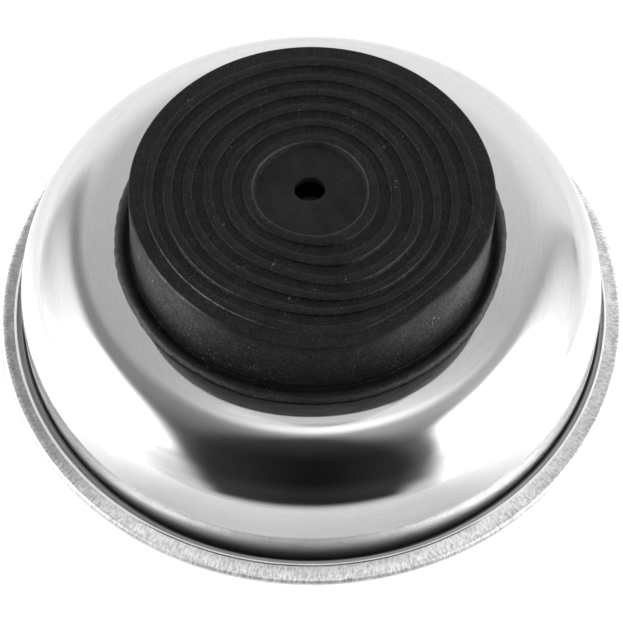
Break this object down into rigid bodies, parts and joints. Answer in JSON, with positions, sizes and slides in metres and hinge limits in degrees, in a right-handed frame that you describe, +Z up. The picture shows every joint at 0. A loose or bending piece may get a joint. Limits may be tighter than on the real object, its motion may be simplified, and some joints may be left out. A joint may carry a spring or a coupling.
{
  "type": "magnetic parts tray",
  "caption": "Round stainless bowl with a hemmed rim on a ribbed rubber boot that hides a ring magnet, for holding small steel parts.",
  "frame": {"origin": "middle of the rubber tread's resting plane, under the screw's axis", "axes": "+Z up the centre screw's axis to the open mouth of the bowl; the tray is round, so X and Y are any two directions across it"},
  "size_m": [0.15, 0.15, 0.045],
  "materials": {
    "polished_steel": "polished stainless steel, satin on the folded hem",
    "black_rubber": "matt moulded rubber with fine speckle",
    "ferrite": "ground dark grey ceramic magnet",
    "zinc_steel": "bright zinc plated",
    "pad_foam": "closed-cell foam tape",
    "screw_steel": "plain stainless steel"
  },
  "bodies": {
    "root": {"tray_bowl": "polished_steel", "rubber_boot": "black_rubber", "ring_magnet": "ferrite", "backing_plate": "zinc_steel", "foam_pad": "pad_foam", "centre_screw": "screw_steel", "head_washer": "screw_steel", "lock_washer": "zinc_steel", "hex_nut": "zinc_steel"}
  },
  "joints": []
}
